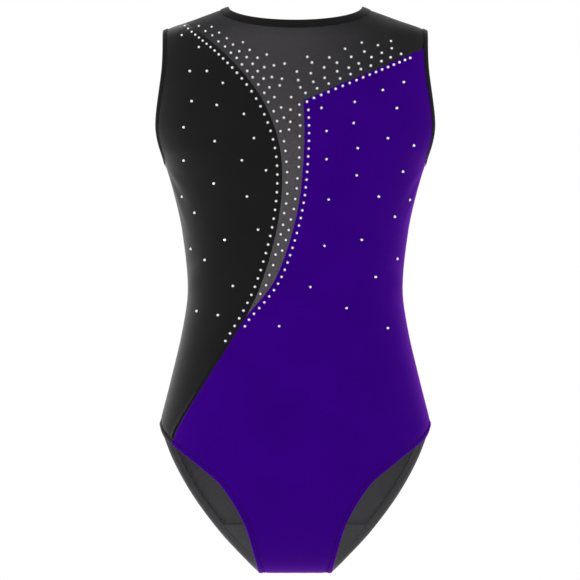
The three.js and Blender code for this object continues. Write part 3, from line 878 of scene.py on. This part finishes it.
class Surface:
    """A material with short ways to add nodes to it."""

    def __init__(self, name):
        self.material = bpy.data.materials.new(name)
        self.material.use_nodes = True
        self.nodes = self.material.node_tree.nodes
        self.shader = self.nodes["Principled BSDF"]

    def link(self, source, target):
        self.material.node_tree.links.new(source, target)

    def feed(self, name, source):
        self.link(source, self.shader.inputs[name])

    def add(self, kind, **settings):
        node = self.nodes.new("ShaderNode" + kind)
        for name, value in settings.items():
            setattr(node, name, value)
        return node

    def calc(self, operation, first, second=0.0, third=0.0):
        node = self.add("Math", operation=operation)
        for socket, value in zip(node.inputs, (first, second, third)):
            if isinstance(value, (int, float)):
                socket.default_value = value
            else:
                self.link(value, socket)
        return node.outputs[0]

    def attribute(self, name, output):
        return self.add("Attribute", attribute_name=name).outputs[output]

    def weave(self):
        """Across and down in the cloth, in millimetres."""
        split = self.add("SeparateXYZ")
        self.link(self.attribute("weave", "Vector"), split.inputs[0])
        return split.outputs[0], split.outputs[1]

    def noise(self, size, detail=2.0, source="weave"):
        """Cloudy values from 0 to 1, with clouds about as wide as size."""
        node = self.add("TexNoise")
        node.inputs["Detail"].default_value = detail
        if source == "weave":
            node.inputs["Scale"].default_value = 1 / size
            self.link(self.attribute("weave", "Vector"), node.inputs["Vector"])
        else:
            node.inputs["Scale"].default_value = 1 / (size * MM)
            self.link(self.add("TexCoord").outputs["Object"], node.inputs["Vector"])
        return node.outputs["Fac"]

    def smooth(self, value, start, end, low, high):
        """A smooth step from low to high between start and end."""
        node = self.add("MapRange", interpolation_type="SMOOTHSTEP")
        self.link(value, node.inputs["Value"])
        for name, number in (("From Min", start), ("From Max", end), ("To Min", low), ("To Max", high)):
            node.inputs[name].default_value = number
        return node.outputs["Result"]

    def ramp(self, value, *stops):
        node = self.add("ValToRGB")
        while len(node.color_ramp.elements) < len(stops):
            node.color_ramp.elements.new(0.5)
        for element, (place, colour) in zip(node.color_ramp.elements, stops):
            element.position = place
            element.color = (*colour, 1)
        self.link(value, node.inputs[0])
        return node.outputs[0]

    def bump(self, height, depth):
        """Depth in millimetres for a height of 1."""
        node = self.add("Bump")
        node.inputs["Distance"].default_value = depth * MM
        self.link(height, node.inputs["Height"])
        self.feed("Normal", node.outputs[0])

    def settle(self, **values):
        for name, value in values.items():
            self.shader.inputs[name.replace("_", " ")].default_value = value
        return self.material


def knit_height(surface, wale, course):
    """The loops of a fine knit: upright ribs, with each loop leaning to the middle of its rib."""
    across, down = surface.weave()
    rib = surface.calc("ABSOLUTE", surface.calc("SINE", surface.calc("MULTIPLY", across, pi / wale)))
    lean = surface.calc("MULTIPLY_ADD", rib, 2.6, surface.calc("MULTIPLY", down, 2 * pi / course))
    loop = surface.calc("SINE", lean)
    return surface.calc("MULTIPLY_ADD", loop, 0.3, surface.calc("MULTIPLY", rib, 0.7))


def knit(name, dark, light, roughness, sheen, tint=(1, 1, 1), specular=0.1, wale=0.85, depth=0.035):
    """Stretch knit with uneven dye, a fine grain and a soft shine at a glancing angle."""
    surface = Surface(name)
    specks = surface.calc("MULTIPLY", surface.noise(2.2, 3), 0.35)
    clouds = surface.calc("MULTIPLY_ADD", surface.noise(48), 0.65, specks)
    surface.feed("Base Color", surface.ramp(clouds, (0.3, dark), (0.7, light)))
    rough = surface.calc("MULTIPLY_ADD", surface.noise(9, 3), 0.16, roughness - 0.08)
    surface.feed("Roughness", rough)
    fuzz = surface.calc("MULTIPLY", surface.noise(1.4, 2), 0.5)
    surface.bump(surface.calc("ADD", knit_height(surface, wale, wale * 0.8), fuzz), depth)
    return surface.settle(
        Specular_IOR_Level=specular, Sheen_Weight=sheen, Sheen_Roughness=0.42, Sheen_Tint=(*tint, 1)
    )


def black_knit():
    return knit("black_knit", (0.0062, 0.0062, 0.0061), (0.0086, 0.0086, 0.0084), 0.6, 0.4, specular=0.02)


# The inside face is much lighter than the outside: partly the greyer wrong side of the knit, partly
# painted light where the inside of the leotard lies in shade.
def black_knit_inside():
    return knit("black_knit_inside", (0.09, 0.09, 0.091), (0.11, 0.11, 0.111), 0.8, 0.6)


def purple_knit():
    dark, light = (0.026, 0.0001, 0.165), (0.033, 0.0002, 0.205)
    return knit("purple_knit", dark, light, 0.5, 0.62, tint=(0.5, 0.1, 1), specular=0, depth=0.03)


def purple_knit_inside():
    dark, light = (0.06, 0.01, 0.24), (0.075, 0.014, 0.29)
    return knit("purple_knit_inside", dark, light, 0.75, 0.2, tint=(0.8, 0.8, 1))


def binding_knit():
    dark, light = (0.0055, 0.0055, 0.0054), (0.0075, 0.0075, 0.0073)
    return knit("binding_knit", dark, light, 0.6, 0.12, specular=0.06, wale=0.7, depth=0.045)


def lining_knit():
    return knit("lining_knit", (0.1, 0.1, 0.101), (0.12, 0.12, 0.121), 0.85, 0.6, wale=1.1, depth=0.05)


def sheer_mesh():
    """See-through net: fine holes, cloudy patches, and painted light and shade: its colour is painted
    lighter across the middle and lower down, and darker towards the shoulders.
    """
    surface = Surface("sheer_mesh")
    cells = surface.add("TexVoronoi", feature="DISTANCE_TO_EDGE")
    cells.inputs["Scale"].default_value = 1 / 1.1
    surface.link(surface.attribute("weave", "Vector"), cells.inputs["Vector"])
    across, down = surface.weave()
    # Painted light and shade: the net's colour is made lighter across the middle of the front and lower
    # down, and darker towards the shoulders and the top.
    aside = surface.calc("DIVIDE", surface.calc("ADD", across, 22), 64)
    away = surface.calc("MULTIPLY", surface.calc("MULTIPLY", aside, aside), -1)
    middle = surface.calc("EXPONENT", away)
    painted_shoulder_shade = surface.smooth(down, 8, 32, 0.5, 1)
    painted_light = surface.calc("MULTIPLY_ADD", surface.calc("MULTIPLY", middle, painted_shoulder_shade), 0.4, 0.12)
    painted_light = surface.calc("ADD", painted_light, surface.smooth(down, 60, 190, 0, 0.36))
    specks = surface.calc("MULTIPLY", surface.noise(3.2, 3), 0.3)
    clouds = surface.calc("MULTIPLY_ADD", surface.noise(22), 0.3, specks)
    tone = surface.calc("MULTIPLY", painted_light, surface.calc("ADD", clouds, 0.7))
    surface.feed("Base Color", surface.ramp(tone, (0, (0, 0, 0)), (1, (0.1, 0.094, 0.102))))
    hole = surface.calc("LESS_THAN", 0.3, cells.outputs["Distance"])
    surface.feed("Alpha", surface.calc("SUBTRACT", 0.8, surface.calc("MULTIPLY", hole, 0.5)))
    surface.bump(cells.outputs["Distance"], 0.05)
    return surface.settle(Roughness=0.7, Specular_IOR_Level=0.1, Sheen_Weight=0.15, Sheen_Roughness=0.4)


def thread(name, dark, light):
    """Twisted thread."""
    surface = Surface(name)
    strands = surface.add("TexWave", wave_type="BANDS", bands_direction="DIAGONAL")
    strands.inputs["Scale"].default_value = 1 / (2.4 * MM)
    strands.inputs["Distortion"].default_value = 1.5
    surface.link(surface.add("TexCoord").outputs["Object"], strands.inputs["Vector"])
    surface.feed("Base Color", surface.ramp(strands.outputs["Fac"], (0, dark), (1, light)))
    surface.bump(strands.outputs["Fac"], 0.06)
    return surface.settle(Roughness=0.7, Specular_IOR_Level=0.02)


def elastic_braid():
    surface = Surface("elastic_braid")
    across, down = surface.weave()
    slant = surface.calc("MULTIPLY", down, 4)
    braid = surface.calc("SINE", surface.calc("MULTIPLY_ADD", across, 2 * pi / 1.2, slant))
    strands = surface.calc("MULTIPLY_ADD", braid, 0.5, 0.5)
    surface.feed("Base Color", surface.ramp(strands, (0, (0.6, 0.56, 0.48)), (1, (0.8, 0.77, 0.7))))
    surface.bump(braid, 0.08)
    return surface.settle(Roughness=0.75, Specular_IOR_Level=0.3)


def crystal():
    """Cut glass on a silver back, with painted glints: its colour is painted bright on the table,
    brighter and darker in turn on the facets, and dark on the rim.
    """
    surface = Surface("crystal")
    facet = surface.attribute("facet", "Fac")
    # Painted glints and painted shade: each face's glint value, made uneven at random, sets a dark rim,
    # grey facets and a white table.
    duller = surface.calc("SUBTRACT", facet, 0.12)
    uneven = surface.calc("MULTIPLY_ADD", surface.noise(2.5, 1, "object"), 0.25, duller)
    stops = ((0, (0.03, 0.03, 0.035)), (0.4, (0.55, 0.56, 0.58)), (0.7, (1, 1, 1)))
    surface.feed("Base Color", surface.ramp(uneven, *stops))
    surface.feed("Roughness", surface.ramp(facet, (0, (0.5, 0.5, 0.5)), (1, (0.1, 0.1, 0.1))))
    return surface.settle(Metallic=0.85, Specular_IOR_Level=0.6, Coat_Weight=0.5, Coat_Roughness=0.05)


def studio_floor_paint():
    surface = Surface("studio_floor_paint")
    clouds = surface.noise(300, 2, "object")
    surface.feed("Base Color", surface.ramp(clouds, (0.3, (0.83, 0.83, 0.83)), (0.7, (0.87, 0.87, 0.87))))
    return surface.settle(Roughness=0.8)


BLACK = black_knit()
BLACK_INSIDE = black_knit_inside()
PURPLE = purple_knit()
PURPLE_INSIDE = purple_knit_inside()
SHEER = sheer_mesh()
BINDING = binding_knit()
BLACK_THREAD = thread("black_thread", (0.0084, 0.0084, 0.0084), (0.015, 0.015, 0.015))
PURPLE_THREAD = thread("purple_thread", (0.0056, 0.00042, 0.042), (0.01, 0.00075, 0.075))
ELASTIC = elastic_braid()
LINING = lining_knit()
CRYSTAL = crystal()

# ---------------------------------------------------------------- bindings, hems and elastic

CLOTH_MIDDLE = -CLOTH / 2
BINDING_HALF = 1.2
POCKET_HALF = 0.75
HEM_MIDDLE = -1.65
HEM_HALF = 1.8
HEM_INNER = LEG_HEM + 1.5
BINDING_GROOVE = 0.3
HEM_GROOVE = 0.9
ELASTIC_HALF = 0.5


def elastic_profile(start, width, middle):
    return strip_profile(start, start + width, middle - ELASTIC_HALF, middle + ELASTIC_HALF)


def bindings():
    """Folded bindings on the neck and the armholes, with the elastic inside their folds."""
    edges = [("neck", NECK, NECK_BINDING, 3.6)]
    edges += [(f"armhole_{side}", path, ARM_BINDING, 1.9) for side, path in ARMS.items()]
    pieces = []
    for name, path, width, elastic_width in edges:
        profile = fold_profile(width, width, CLOTH_MIDDLE, BINDING_HALF, POCKET_HALF, BINDING_GROOVE)
        strip = sweep(name + "_binding_fold", path, profile, BINDING)
        band = elastic_profile(1.1, elastic_width, CLOTH_MIDDLE)
        elastic = sweep(name + "_elastic_band", path, band, ELASTIC)
        out = CLOTH_MIDDLE + BINDING_HALF - 0.28
        sewn = stitches(name + "_stitches", path, width - STITCH_INSET, out, BLACK_THREAD)
        pieces.append((name, strip, elastic, sewn))
    return pieces


def hem_piece(name, path, keep, material, lining):
    profile = fold_profile(LEG_HEM + 0.4, HEM_INNER, HEM_MIDDLE, HEM_HALF, POCKET_HALF, HEM_GROOVE)
    return sweep(name, part_of(path, keep), profile, material, lining=lining)


def leg_hems():
    """Turned hems on the leg openings: purple in front, black at the back and by the black panel."""
    band = elastic_profile(1.3, 4, HEM_MIDDLE)
    stitch_out = HEM_MIDDLE + HEM_HALF - 0.7
    pieces = []
    for side, path in LEGS.items():
        front = np.arange(len(path.angle)) < path.turn
        black = front & inside(path.points[:, [0, 2]], BLACK_AREA)
        purple = front & ~black
        pieces.append(hem_piece(f"purple_hem_{side}", path, purple, PURPLE, PURPLE_INSIDE))
        pieces.append(hem_piece(f"back_hem_{side}", path, ~front, BLACK, BLACK_INSIDE))
        if black.any():
            pieces.append(hem_piece(f"black_hem_{side}", path, black, BLACK, BLACK_INSIDE))
        pieces.append(sweep(f"leg_elastic_band_{side}", path, band, ELASTIC))
        for part, marked, look in (("front", purple, PURPLE_THREAD), ("back", ~purple, BLACK_THREAD)):
            name = f"leg_stitches_{part}_{side}"
            pieces.append(stitches(name, part_of(path, marked), LEG_HEM - 1, stitch_out, look))
    return {piece.name: piece for piece in pieces}


# ---------------------------------------------------------------- seams inside, and the lining

SEAM_OUT = -CLOTH - 0.35
SEAM_IN = SEAM_OUT - 1.15


def overlock(along, across):
    """The looped thread of an overlocked edge makes its surface ripple."""
    return 0.14 * np.sin(2 * pi * (along / 2.1 + across / 5))


SEAM_ROOM = 4.5
TINY = 1e-6


def trimmed(path):
    """The stretch of a front seam that stays clear of the edges of the cloth."""
    spots = to_chart(path.angle, path.level)
    border = BORDERS[1]
    # The sides and the crotch are no edges: there the front goes on into the back.
    at_side = np.abs(np.abs(border[:, 0]) - SIDE) < TINY
    edges = border[~at_side & (border[:, 1] < CHART_BOTTOM - TINY)]
    gaps = np.linalg.norm(spots[:, None] - edges[None], axis=2).min(1)
    keep = inside(spots * (1 - TINY, 1) - (0, 1e-4), border) & (gaps > SEAM_ROOM)
    return make_path(path.angle[keep], path.level[keep])


def vertical_path(angle, top, bottom):
    drops = np.arange(top, bottom, PATH_SPACING)
    return make_path(np.full(len(drops), angle), level_at(drops))


def crotch_path():
    """The seam under the crotch, short of the leg hems."""
    count = 40
    level = np.full(count, 2.0)
    half = section(level)[1][0]
    start, end = np.arccos((CROTCH_HALF - 9) / half * np.array([1, -1]))
    return make_path(np.linspace(start, end, count), level)


def seam_allowances():
    """Overlocked allowances on the inside, each pressed away from the sheer cloth."""
    wide = SEAM_ALLOWANCE
    band = strip_profile(-wide / 2, wide / 2, SEAM_IN, SEAM_OUT)
    to_black = strip_profile(-0.2, -wide, SEAM_IN, SEAM_OUT)
    to_purple = strip_profile(0.2, wide, SEAM_IN, SEAM_OUT)
    # Each seam's line is cut short where another seam or an edge meets it.
    rows = [
        ("yoke_seam_black_overlock", trimmed(seam_path(BLACK_LINE[BLACK_LINE[:, 0] > -107])), to_black),
        ("front_seam_overlock", trimmed(seam_path(LOWER_LINE[60:])), to_black),
        ("yoke_seam_top_overlock", trimmed(seam_path(PURPLE_TOP_LINE[60:-12])), to_purple),
        ("yoke_seam_side_overlock", trimmed(seam_path(PURPLE_SIDE_LINE[25:-60])), to_purple),
    ]
    for name, angle in (("left", 0.0), ("right", pi)):
        side, shoulder = (UNDERARM_DROP + 8, HIP_DROP - 9), (4.5, SHOULDER_DROP - 2.5)
        rows.append((f"side_seam_overlock_{name}", vertical_path(angle, *side), band))
        rows.append((f"shoulder_seam_overlock_{name}", vertical_path(angle, *shoulder), band))
    rows.append(("crotch_seam_overlock", crotch_path(), band))
    return {name: sweep(name, path, profile, BLACK_THREAD, overlock) for name, path, profile in rows}


LINING_FRONT_DROP = 505
LINING_BACK_DROP = 520
LINING_OUT = SEAM_IN - 0.45
LINING_THICKNESS = 0.6


def crotch_gusset():
    """The cotton lining inside the crotch, from its front seam under to its back seam."""
    rows, columns = 46, 41
    hem_gap = 2.6
    low = seen_at(np.array([(0, -LINING_FRONT_DROP)], float), 1)[1][0]
    high = 4 - seen_at(np.array([(0, -LINING_BACK_DROP)], float), -1)[1][0]
    levels = np.linspace(low, high, rows)
    drops, halves = section(np.minimum(levels, 4 - levels))[:2]
    edges = [np.interp(-drops, line[::-1, 1], line[::-1, 0]) for line in (FRONT_LEG_LINE, BACK_LEG_LINE)]
    half_widths = np.where(levels < 2, *edges) - LEG_HEM - hem_gap
    x = half_widths[:, None] * np.linspace(1, -1, columns)
    angle = np.arccos(np.sign(x) * (np.abs(x) / halves[:, None]) ** (SECTION_POWER / 2)).ravel()
    level = np.repeat(levels, columns)
    points, normals = form(angle, level), form_normal(angle, level)
    both = np.vstack([points + normals * out for out in (LINING_OUT, LINING_OUT - LINING_THICKNESS)])

    count = rows * columns
    index = np.arange(count).reshape(rows, columns)
    quads = np.stack([index[:-1, :-1], index[:-1, 1:], index[1:, 1:], index[1:, :-1]], -1).reshape(-1, 4)
    loop = np.concatenate([index[:, 0], index[-1, 1:], index[-2::-1, -1], index[0, -2:0:-1]])
    after = np.roll(loop, -1)
    rim = np.stack([loop, after, after + count, loop + count], 1)
    faces = np.vstack([quads, quads[:, ::-1] + count, rim]).tolist()
    down = np.repeat(np.where(levels < 2, drops, 2 * CROTCH_DROP - drops), columns)
    weave = np.tile(np.column_stack([x.ravel(), down, np.zeros(count)]), (2, 1))
    return add_mesh("crotch_gusset", both, faces, [LINING], weave)


# ---------------------------------------------------------------- rhinestones

# The rows run on beside the lower seam, for this many points of its line.
BLACK_ROW_END = 330
PURPLE_ROW_END = 150


def black_row():
    line = np.vstack([BLACK_LINE, LOWER_LINE[1:BLACK_ROW_END]])
    return row_beside(line, -BLACK_ROW_INSET, 8.8, 4.5)


def purple_rows():
    """Rows from the corner of the purple cloth, outwards along its top and down along its side."""
    top = row_beside(PURPLE_TOP_LINE[::-1], -PURPLE_TOP_INSET, 7.9)
    side_line = np.vstack([PURPLE_SIDE_LINE, LOWER_LINE[1:PURPLE_ROW_END]])
    side = row_beside(side_line, PURPLE_SIDE_INSET, 7.7, 8.7)
    return top[top[:, 0] < SHOULDER_HALF - 18], side


# Rows on the sheer cloth: distance from the seam and pitch, close at the seam and sparse further
# off. The last purple side row fills the stripe's narrow end.
BLACK_SIDE_ROWS = ((5, 10.4), (12.5, 11.5), (20.5, 14), (29.5, 18), (39.5, 26))
PURPLE_TOP_ROWS = ((4.6, 13.5), (12, 15), (20.5, 18), (30, 22), (40, 30))
PURPLE_SIDE_ROWS = ((4.2, 10.4), (13, 13), (22, 15), (3.1, 4))
SHEER_ROWS = (
    (BLACK_LINE, 1, BLACK_SIDE_ROWS),
    (PURPLE_TOP_LINE[150:], -1, PURPLE_TOP_ROWS),
    (PURPLE_SIDE_LINE, -1, PURPLE_SIDE_ROWS),
)
# The stones on the sheer cloth stay below this line.
SHEER_STONES_TOP = np.array([
    (-112, -23), (-100, -19), (-91, -16), (-71, -24), (-58, -31), (-19, -46), (15, -49),
    (43, -40), (64, -33), (85, -31), (104, -37), (113, -52),
])
# How close they come to a seam, to the stones of the rows and to each other, away from the shoulders.
SEAM_GAP = 2.9
ROW_GAP = 5.8
SHEER_GAP = 7.2
SHEER_CLOSENESS = 0.8


def sheer_stones(taken):
    """Staggered rows beside the seams of the sheer cloth, each stone clear of those before it."""
    tries = []
    for rank in range(len(BLACK_SIDE_ROWS)):
        for line, sign, rows in SHEER_ROWS:
            if rank < len(rows):
                distance, pitch = rows[rank]
                start = 2 + (rank + (sign < 0)) % 2 * pitch / 2
                row = row_beside(line, sign * distance, pitch, start, SHEER_CLOSENESS)
                tries.append(row + RANDOM.normal(0, 0.4 + 0.15 * rank, row.shape))
    tries = np.vstack(tries)
    near = closeness(-tries[:, 1], SHEER_CLOSENESS)
    fits = ~inside(tries, BLACK_AREA) & ~inside(tries, PURPLE_AREA)
    fits &= tries[:, 1] < np.interp(tries[:, 0], *SHEER_STONES_TOP.T)
    fits &= tries[:, 1] > STRIPE_TIP[1] + 9
    for seam in (BLACK_LINE, PURPLE_TOP_LINE, PURPLE_SIDE_LINE):
        fits &= nearest(tries, seam[::20])[0] > SEAM_GAP * near
    places = []
    for place, share in zip(tries[fits], near[fits]):
        if far_from(place, taken, ROW_GAP * share) and far_from(place, places, SHEER_GAP * share):
            places.append(place)
    return np.array(places)


# The single stones follow no rule. For each height: how far across each stone sits.
BLACK_SCATTER = {
    -29: (-113,), -41: (-96,), -65: (-105, -88), -77: (-72,), -95: (-103,), -99: (-78,), -108: (-51,),
    -121: (-111,), -132: (-41,), -135: (-80,), -154: (-111, -53), -164: (-29,), -177: (-81,),
    -190: (-113, -48), -206: (-100,), -223: (-37,), -233: (-70,), -242: (-104,), -253: (-90,),
    -279: (-62,), -304: (-98,), -308: (-77,),
}
PURPLE_SCATTER = {
    -76: (108,), -84: (87,), -96: (59,), -102: (26, 101), -117: (58,), -125: (31,), -132: (92,),
    -139: (118,), -142: (62,), -153: (31,), -165: (107,), -169: (61,), -190: (83,), -193: (33, 114),
    -210: (99,), -233: (66,), -239: (29,), -252: (102,), -270: (80,), -280: (15,), -301: (51,),
    -319: (-16,), -321: (92,),
}


def scattered(heights):
    return np.array([(across, z) for z, places in heights.items() for across in places], float)


def all_stones():
    black = black_row()
    purple_top, purple_side = purple_rows()
    return {
        "stones_black_row": black,
        "stones_purple_top_row": purple_top,
        "stones_purple_side_row": purple_side,
        "stones_on_mesh": sheer_stones(np.vstack([black, purple_top, purple_side])),
        "stones_on_black": scattered(BLACK_SCATTER),
        "stones_on_purple": scattered(PURPLE_SCATTER),
    }


# ---------------------------------------------------------------- assembly


PANELS = {
    "black_side_cloth": ("black_side_panel", "black_knit"),
    "purple_front_cloth": ("purple_front_panel", "purple_knit"),
    "sheer_yoke": ("mesh_yoke", "sheer_mesh"),
    "back_cloth": ("back_panel", "black_knit"),
    "crotch_gusset": ("crotch_lining", "lining"),
}
SEAM_NODES = {
    "yoke_seam_black_overlock": "yoke_seam_black",
    "front_seam_overlock": "front_seam",
    "yoke_seam_top_overlock": "yoke_seam_purple",
    "crotch_seam_overlock": "crotch_seam",
}
STONE_NODES = {
    "stones_black_row": "stones_black_edge",
    "stones_purple_top_row": "stones_purple_top",
    "stones_purple_side_row": "stones_purple_side",
    "stones_on_mesh": "stones_stripe",
}


def finished_bindings():
    pieces = []
    for name, strip, elastic, sewn in bindings():
        node = "neck_binding" if name == "neck" else name.replace("armhole", "armhole_binding")
        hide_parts(node)
        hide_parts(node.replace("binding", "elastic"))
        pieces += [strip, elastic, sewn]
    return pieces


def finished_hems():
    hems = leg_hems()
    for name, piece in hems.items():
        if "elastic" in name:
            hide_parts("leg_elastic_" + name.rsplit("_", 1)[1])
        elif "stitches" in name:
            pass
        else:
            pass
    return hems


def finished_seams():
    seams = seam_allowances()
    for name, piece in seams.items():
        node = SEAM_NODES.get(name, name.replace("_overlock", ""))
        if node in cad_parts:
            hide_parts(node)
    return list(seams.values())


def finished_stones():
    gems = {name: stones(name, places) for name, places in all_stones().items()}
    for name, piece in gems.items():
        if name in STONE_NODES:
            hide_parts(STONE_NODES[name])
    return gems


def build():
    panels = [*front_panels(), back_cloth(), crotch_gusset()]
    for piece in panels:
        node, slot = PANELS[piece.name]
        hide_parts(node)
    sewn_to_back = finished_bindings()
    hems = finished_hems()
    seams = finished_seams()
    gems = finished_stones()

    on_purple = [hems[name] for name in hems if "purple" in name or "leg_stitches_front" in name]
    on_purple += [gems[name] for name in gems if "purple" in name]
    sewn_to_back += [hems[name] for name in hems if "back" in name or "elastic" in name]
    sewn_to_back += seams


# ---------------------------------------------------------------- studio

VIEW_DISTANCE = 14
VIEW_WIDTH = 580 * MM
VIEW_CENTRE = (-5.25 * MM, -283 * MM)
SENSOR = 36
FLOOR_HALF = 1.5
FLOOR_DEPTH = 1.05
SOFTBOX_PLACE = Vector((-0.95, -0.85, -0.85))
SOFTBOX_AIM = Vector((-0.06, 0, -0.42))


def placed(name, data):
    thing = bpy.data.objects.new(name, data)
    bpy.context.scene.collection.objects.link(thing)
    return thing


def white_room():
    world = bpy.data.worlds.new("white_room")
    world.use_nodes = True
    background = world.node_tree.nodes["Background"]
    background.inputs["Color"].default_value = (1, 1, 1, 1)
    background.inputs["Strength"].default_value = 1
    bpy.context.scene.world = world


def studio():
    """A white room with soft light, a pale floor well below the leotard, and the camera."""
    bpy.context.scene.view_settings.view_transform = "Standard"
    white_room()

    light = placed("low_left_softbox", bpy.data.lights.new("low_left_softbox", "AREA"))
    light.data.size = 0.7
    light.data.energy = 3
    light.location = SOFTBOX_PLACE
    light.rotation_euler = (SOFTBOX_AIM - SOFTBOX_PLACE).to_track_quat("-Z", "Y").to_euler()

    mesh = bpy.data.meshes.new("floor")
    signs = ((-1, -1), (1, -1), (1, 1), (-1, 1))
    corners = [(x * FLOOR_HALF, y * FLOOR_HALF, -FLOOR_DEPTH) for x, y in signs]
    mesh.from_pydata(corners, [], [(0, 1, 2, 3)])
    mesh.materials.append(studio_floor_paint())
    placed("floor", mesh)

    camera = placed("camera", bpy.data.cameras.new("camera"))
    camera.data.sensor_width = SENSOR
    camera.data.lens = SENSOR * VIEW_DISTANCE / VIEW_WIDTH
    camera.data.clip_end = 100
    camera.location = (VIEW_CENTRE[0], -VIEW_DISTANCE, VIEW_CENTRE[1])
    camera.rotation_euler = (pi / 2, 0, 0)
    bpy.context.scene.camera = camera


build()
studio()
